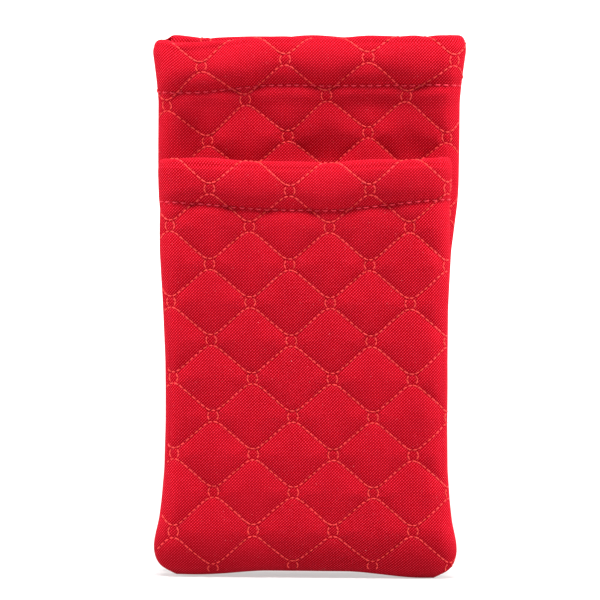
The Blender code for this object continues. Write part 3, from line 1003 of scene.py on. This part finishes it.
# ---- spring strips ----
def make_strip(pouch, wall, end_name, material):
    """Half of a spring strip, with its rolled knuckles, inside the casing."""
    low, high = pouch["strip_z"]
    strip_height = high - low
    offset = (pouch["depth"] + CASING_INNER) / 2
    curl, thick = 1.55 * MM, 0.5 * MM
    bend_start = pouch["pin_x"] - 6.6 * MM
    moving = MOVING_WALL[pouch["name"]] == wall
    straight = [(x, offset) for x in np.arange(0, bend_start, 1.5 * MM)]
    bend = []
    for part in np.linspace(0, 1, 8, endpoint=False):
        bend.append((bend_start + 6.6 * MM * part,
                     offset + (curl - offset) * float(smoothstep(part))))
    roll = [(pouch["pin_x"] + curl * math.sin(a), curl * math.cos(a))
            for a in np.radians(np.linspace(0, 300, 21))]
    route = np.array(straight + bend + roll)
    first_rolled = len(straight) + len(bend)
    cuts = (3.6 * MM, 6.9 * MM) if moving else (3.0 * MM, 7.5 * MM)
    levels = low + np.array([0.0, cuts[0], cuts[1], strip_height])
    along = np.gradient(route, axis=0)
    along /= np.linalg.norm(along, axis=1, keepdims=True)
    across = np.stack([-along[:, 1], along[:, 0]], axis=1)
    end, side = ENDS[end_name], WALLS[wall]
    layers = []
    for way in (0.5, -0.5):
        line = route + across * thick * way
        grid = np.zeros((len(levels), len(route), 3))
        grid[..., 0] = end * line[None, :, 0]
        grid[..., 1] = pouch["seam_y"] + side * line[None, :, 1]
        grid[..., 2] = levels[:, None]
        layers.append(grid)
    count = len(levels) * len(route)
    points = np.concatenate([layer.reshape(-1, 3) for layer in layers])
    index = np.arange(count).reshape(len(levels), len(route))
    kept = np.ones((3, len(route) - 1), bool)
    for row in range(3):
        kept[row, first_rolled:] = (row == 1) == moving
    quads = []
    for row in range(3):
        for column in range(len(route) - 1):
            if not kept[row, column]:
                continue
            a, b = index[row, column], index[row, column + 1]
            c, d = index[row + 1, column + 1], index[row + 1, column]
            quads += [(a, b, c, d), (d + count, c + count, b + count, a + count)]
            around = (((row - 1, column), (a, b)), ((row, column + 1), (b, c)),
                      ((row + 1, column), (c, d)), ((row, column - 1), (d, a)))
            for (r, q), (p, n) in around:
                outside = not (0 <= r < 3 and 0 <= q < len(route) - 1) or not kept[r, q]
                if outside:
                    quads.append((p, p + count, n + count, n))
    quads = np.array(quads)
    if end * side < 0:
        quads = quads[:, ::-1]
    obj = new_mesh(f"{pouch['name']}_{wall}_spring_{end_name}", material, points, quads)
    obj.data.set_sharp_from_angle(angle=math.radians(40))
    return obj


# ---- the object ----
def finish_half(obj, pouch, wall, end_name, kind=None):
    """Hides the CAD nodes that one half of a wall's cloth, lining, strip or thread replaces, and
    bakes its transform.

    kind names the CAD nodes that it replaces; the left half also takes the middle one.
    """
    label = f"{pouch['name']}_{wall}"
    if kind:
        nodes = [f"{label}_{kind}_{end_name}"]
        if end_name == "left":
            nodes.append(f"{label}_{kind}_middle")
            if kind == "panel" and MOVING_WALL[pouch["name"]] != wall:
                nodes.append(f"{pouch['name']}_bottom_fold")
        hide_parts(*nodes)
    blend_across_crease(obj)


def hem_stitches(pouch):
    """Ends of every stitch of the casing's line, with gaps between them."""
    starts, ends = [], []
    line = np.array([(-STITCH_REACH, hem_v(pouch)), (STITCH_REACH, hem_v(pouch))])
    add_stitches(line, HEM_PITCH, starts, ends, HEM_SEED)
    starts, ends = np.array(starts), np.array(ends)
    shorten = (ends - starts) * 0.12
    return starts + shorten, ends - shorten


def build_wall(pouch, wall, looks):
    name = pouch["name"]
    label = f"{name}_{wall}"
    x0, v0 = QUILT_ORIGINS[(name, wall)]
    _, outside, lip = path_lengths(pouch)
    v_high = lip + CASING_HEIGHT - lip_radius(pouch) - 1.5 * MM

    def quilt_shift(u, v):
        return lattice_shift(pouch, wall, u, v)

    def hem_shift(u, v):
        return 0.0, hem_wander(pouch, wall, u)

    # each kind of thread: its stitches, radius, lift, material, shift, and which of its
    # stitches are kept on the walls and on the side seams
    starts, ends = zigzag_stitches(x0, v0, 4.0 * MM, v_high, STITCH_REACH)
    middle = (starts + ends) / 2
    on_seam = within_outline(pouch, middle, 0.5 * MM) & (middle[:, 1] < outside)
    kinds = {"quilting": (starts, ends, THREAD_RADIUS, THREAD_LIFT, looks["quilt_thread"],
                          quilt_shift, np.ones(len(starts), bool), on_seam)}
    starts, ends = hem_stitches(pouch)
    on_cloth = within_outline(pouch, (starts + ends) / 2, 0.3 * MM)
    kinds["hem"] = (starts, ends, HEM_RADIUS, HEM_LIFT, looks["hem_thread"], hem_shift,
                    on_cloth, on_cloth)

    def add_threads(kind, end_name, region):
        """One piece of thread, or None where no stitch lies in that region."""
        starts, ends, radius, lift, material, shift, on_wall, on_edge = kinds[kind]
        kept = on_wall if region == end_name else on_edge
        here = (split_region(pouch, (starts + ends) / 2) == region) & kept
        if not here.any():
            return None
        edge = "" if region == end_name else "edge_"
        return lay_threads(f"{label}_{edge}{kind}_{end_name}", pouch, wall, starts[here],
                           ends[here], radius, lift, material, shift)

    for end_name in ENDS:
        skin = make_skin(pouch, wall, end_name, looks["quilted"])
        finish_half(skin, pouch, wall, end_name, "panel")
        lining, flat = make_lining(pouch, wall, end_name, looks["lining"])
        finish_half(lining, pouch, wall, end_name, "lining")
        strip = make_strip(pouch, wall, end_name, looks["steel"])
        finish_half(strip, pouch, wall, end_name, "strip")
        for kind in kinds:
            thread = add_threads(kind, end_name, end_name)
            finish_half(thread, pouch, wall, end_name)
        for kind in kinds:
            thread = add_threads(kind, end_name, f"edge_{end_name}")
            if thread:
                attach(thread, f"{name}_side_seam_{end_name}")


def build_pouch(pouch, looks):
    name = pouch["name"]
    for wall in WALLS:
        build_wall(pouch, wall, looks)
    for end_name in ENDS:
        seam = make_side_seam(pouch, end_name, looks["quilted"])
        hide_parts(f"{name}_{end_name}_side_seam")
        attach(seam, f"{name}_side_seam_{end_name}")
        pin = frame["nodes"][f"{name}_{end_name}_pin"]
        pin.data.materials.clear()
        pin.data.materials.append(looks["steel"])


# ---- stage, light and camera ----
def make_stage():
    material, tree, shader = node_tree("stage_white")
    set_inputs(shader, {"Base Color": (0.35, 0.35, 0.35, 1), "Roughness": 0.9,
                        "Emission Color": (1, 1, 1, 1)})
    place = tree.nodes.new("ShaderNodeTexCoord")
    split = tree.nodes.new("ShaderNodeSeparateXYZ")
    tree.links.new(place.outputs["Object"], split.inputs[0])
    glow = tree.nodes.new("ShaderNodeMapRange")
    tree.links.new(split.outputs["Z"], glow.inputs["Value"])
    set_inputs(glow, {"From Max": 0.06, "To Min": 0.50, "To Max": 1.0})
    tree.links.new(glow.outputs[0], shader.inputs["Emission Strength"])
    ground = CAD_BOX[0][2]
    profile = [(-1.2, ground), (0.5, ground)]
    for step in range(1, 13):
        turn = math.pi / 2 * step / 12
        profile.append((0.5 + 0.5 * math.sin(turn), ground + 0.5 * (1 - math.cos(turn))))
    profile.append((1.0, 2.0))
    profile = np.array(profile)
    wide = np.array([-2.0, 2.0])
    grid = np.zeros((len(profile), 2, 3))
    grid[..., 0] = wide[None, :]
    grid[..., 1] = profile[:, None, 0]
    grid[..., 2] = profile[:, None, 1]
    sweep = new_mesh("studio_sweep", material, grid.reshape(-1, 3),
                     grid_faces(len(profile), 2))


def make_surround():
    """A white wall all round, far off, which shows in the picture but lights nothing."""
    material, _, shader = node_tree("surround_white")
    set_inputs(shader, {"Base Color": (0, 0, 0, 1), "Emission Color": (1, 1, 1, 1),
                        "Emission Strength": 1.0})
    material.cycles.emission_sampling = "NONE"
    turn = np.linspace(0, 2 * math.pi, 65)
    grid = np.zeros((2, len(turn), 3))
    grid[..., 0] = 9.0 * np.cos(turn)
    grid[..., 1] = 9.0 * np.sin(turn)
    grid[0, :, 2] = -6.0
    grid[1, :, 2] = 9.0
    wall = new_mesh("studio_surround", material, grid.reshape(-1, 3),
                    grid_faces(2, len(turn)))
    wall.visible_diffuse = False
    wall.visible_glossy = False
    wall.visible_transmission = False
    wall.visible_shadow = False


def add_area_light(name, place, target, size, power):
    light = bpy.data.lights.new(name, "AREA")
    light.shape = "RECTANGLE"
    light.size, light.size_y = size
    light.energy = power
    obj = bpy.data.objects.new(name, light)
    obj.location = place
    direction = Vector(target) - Vector(place)
    obj.rotation_euler = direction.to_track_quat("-Z", "Y").to_euler()
    bpy.context.scene.collection.objects.link(obj)


def make_lights():
    middle = (0, 0, 0.09)
    add_area_light("top_light", (0.0, -0.30, 0.95), middle, (0.8, 0.4), 17.5)
    add_area_light("front_fill", (0.25, -1.3, 0.45), middle, (1.2, 1.0), 3.4)
    add_area_light("left_edge", (-0.9, 0.0, 0.35), middle, (0.3, 0.6), 8.0)
    add_area_light("right_edge", (0.9, 0.0, 0.35), middle, (0.3, 0.6), 11.0)
    world = bpy.data.worlds.new("studio_world")
    bpy.context.scene.world = world
    world.use_nodes = True
    background = world.node_tree.nodes["Background"]
    background.inputs[0].default_value = (1, 1, 1, 1)
    background.inputs[1].default_value = 0.12
    bpy.context.scene.view_settings.view_transform = "Standard"


def make_camera():
    """From the front and a little above, with a long lens."""
    view_width = 192.9 * MM
    distance, sensor = 1.1, 36.0
    elevation, roll = math.radians(2.0), math.radians(0.5)
    centre = Vector((-2.4 * MM, -6.0 * MM, 89.2 * MM))
    camera = bpy.data.cameras.new("camera")
    camera.sensor_width = sensor
    camera.lens = sensor * distance / view_width
    camera.clip_end = 20.0
    obj = bpy.data.objects.new("camera", camera)
    obj.location = centre + distance * Vector((0, -math.cos(elevation), math.sin(elevation)))
    look = (centre - obj.location).to_track_quat("-Z", "Y")
    obj.rotation_euler = look.to_euler()
    obj.rotation_euler.rotate_axis("Z", roll)
    bpy.context.scene.collection.objects.link(obj)
    bpy.context.scene.camera = obj


make_camera()
looks = make_materials()
for case_pouch in POUCHES.values():
    build_pouch(case_pouch, looks)
make_stage()
make_surround()
make_lights()

bpy.context.view_layer.update()
